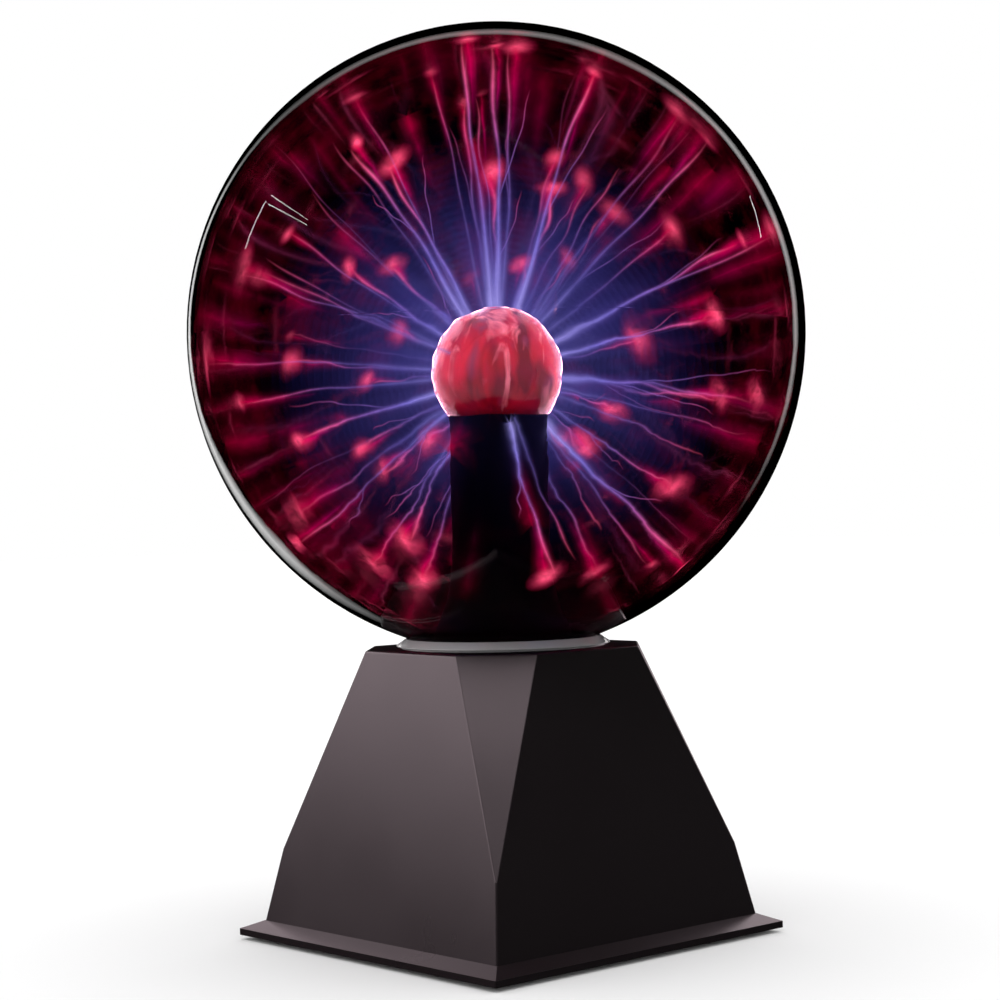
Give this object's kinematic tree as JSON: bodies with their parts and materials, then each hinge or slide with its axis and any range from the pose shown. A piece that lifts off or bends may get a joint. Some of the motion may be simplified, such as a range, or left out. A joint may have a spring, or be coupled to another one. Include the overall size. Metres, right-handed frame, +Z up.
{
  "type": "plasma ball",
  "caption": "Desk plasma ball: clear gas-filled globe with a round centre electrode on a stem, held by a collar in a black pyramid base with cut corners, slide switch and power inlet.",
  "frame": {"origin": "centre of the square base, on the surface that its feet stand on", "axes": "+Z up along the globe's axis; the base's sides face X and Y, with the switch and power inlet in the +Y side"},
  "size_m": [0.2032, 0.2032, 0.3005],
  "materials": {
    "aluminium": "extruded",
    "black_plastic": "moulded",
    "black_rubber": "matt",
    "black_screw": "black oxide",
    "black_sleeve": "matt black",
    "brass": "drawn",
    "capacitor_sleeve": "shrink sleeve",
    "clear_glass": "blown, clear, thin wall",
    "component_black": "moulded epoxy",
    "copper_wire": "enamelled copper",
    "electrode_glass": "coated glass that glows pink at the bulb",
    "ferrite": "ground ferrite",
    "film_yellow": "moulded box",
    "green_board": "solder mask",
    "grey_pad": "silicone pad",
    "grey_plastic": "satin dark grey",
    "housing_plastic": "satin black with a fine moulded texture",
    "jack_plastic": "moulded",
    "lead_red": "smooth insulation",
    "phenolic": "laminate",
    "potting": "potted epoxy",
    "red_rubber": "smooth insulation",
    "resistor_tan": "lacquered",
    "silicone": "translucent white",
    "spring_steel": "nickel plated",
    "steel_wool": "fine wool",
    "switch_plastic": "moulded with grip grooves",
    "toroid_copper": "wound enamelled copper",
    "zinc_screw": "zinc plated"
  },
  "bodies": {
    "base": {"audio_chip": "component_black", "base_housing": "housing_plastic", "board_screws": "zinc_screw", "bottom_cover": "black_plastic", "circuit_board": "green_board", "core_clip": "spring_steel", "coupling_capacitors": "capacitor_sleeve", "cover_screws": "zinc_screw", "dc_jack_body": "jack_plastic", "dc_jack_lugs": "brass", "dc_jack_nut": "zinc_screw", "dc_jack_pin": "brass", "dc_leads": "lead_red", "driver_chip": "component_black", "electrode_glass": "electrode_glass", "electrode_wool": "steel_wool", "exhaust_tip": "clear_glass", "film_capacitor": "film_yellow", "filter_capacitor": "capacitor_sleeve", "flyback_base": "black_plastic", "flyback_core": "ferrite", "flyback_primary": "copper_wire", "flyback_secondary": "potting", "globe_glass": "clear_glass", "globe_seat_gasket": "black_rubber", "heatsink": "aluminium", "heatsink_screw": "zinc_screw", "hv_boot": "red_rubber", "hv_lead": "red_rubber", "hv_rod": "brass", "microphone": "aluminium", "microphone_grommet": "black_rubber", "microphone_leads": "lead_red", "neck_collar": "grey_plastic", "neck_lock_ring": "black_plastic", "neck_silicone": "silicone", "power_transistor": "component_black", "rectifier_diode": "component_black", "resistors": "resistor_tan", "rubber_foot_front_left": "black_rubber", "rubber_foot_front_right": "black_rubber", "rubber_foot_rear_left": "black_rubber", "rubber_foot_rear_right": "black_rubber", "stem_shroud": "black_sleeve", "switch_frame": "spring_steel", "switch_leads": "lead_red", "switch_screws": "black_screw", "switch_terminal_board": "phenolic", "switch_terminals": "brass", "toroid_inductor": "toroid_copper", "transistor_pad": "grey_pad"},
    "mode_slider": {"switch_knob": "switch_plastic", "switch_contact_clip": "brass"}
  },
  "joints": [
    {"name": "mode_switch_slide", "type": "slide", "parent": "base", "child": "mode_slider", "axis": [1, 0, 0], "range_m": [0, 0.005]}
  ]
}
